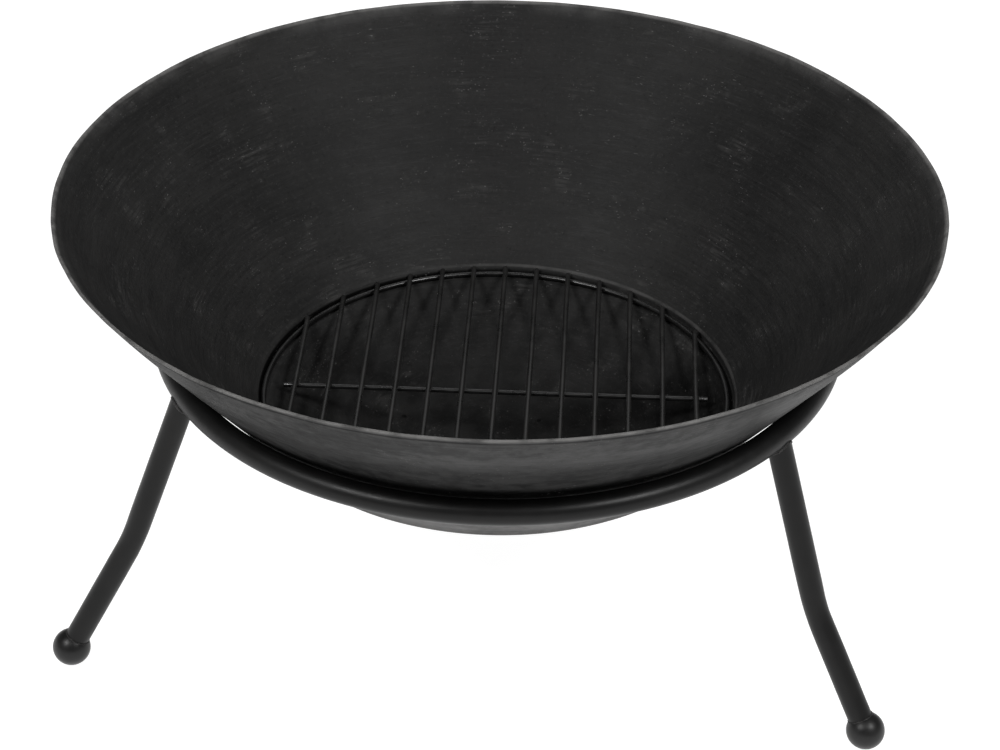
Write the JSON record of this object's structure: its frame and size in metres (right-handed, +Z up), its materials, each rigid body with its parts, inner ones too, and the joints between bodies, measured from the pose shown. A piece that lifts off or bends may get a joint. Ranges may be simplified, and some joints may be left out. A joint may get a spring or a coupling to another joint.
{
  "type": "fire pit with grate",
  "caption": "Round black steel fire bowl on a ring stand with bent tube legs and ball feet, with a loose wire grate resting in the bowl's recess.",
  "frame": {"origin": "on the ground, in the middle of the footprint's bounding box; the bowl's axis is 13.25 mm in front of it, at y = -0.01325 m", "axes": "+Z up along the bowl's axis; -Y is the open front between two legs, +Y is towards the back leg; +X right as seen from the front"},
  "size_m": [0.57, 0.5963, 0.303],
  "materials": {
    "bowl": "matt black heat-resistant paint with fine round brush marks and worn patches",
    "stand": "satin black paint on round tube",
    "foot": "satin black paint with small chips on steel balls",
    "grate": "satin black wire, lightly worn to bare metal on top"
  },
  "bodies": {
    "stand": {"support_ring": "stand", "leg_1": "stand", "leg_2": "stand", "leg_3": "stand", "ball_foot_1": "foot", "ball_foot_2": "foot", "ball_foot_3": "foot"},
    "bowl": {"bowl": "bowl"},
    "grate": {"grate_ring": "grate", "grate_bar_01": "grate", "grate_bar_02": "grate", "grate_bar_03": "grate", "grate_bar_04": "grate", "grate_bar_05": "grate", "grate_bar_06": "grate", "grate_bar_07": "grate", "grate_bar_08": "grate", "grate_bar_09": "grate", "grate_bar_10": "grate", "grate_bar_11": "grate", "grate_bar_12": "grate", "grate_bar_13": "grate", "grate_cross_bar": "grate"}
  },
  "joints": [
    {"name": "bowl_lift", "type": "slide", "parent": "stand", "child": "bowl", "axis": [0, 0, 1], "range_m": [0, 0.15]},
    {"name": "grate_lift", "type": "slide", "parent": "bowl", "child": "grate", "axis": [0, 0, 1], "range_m": [0, 0.2]}
  ]
}
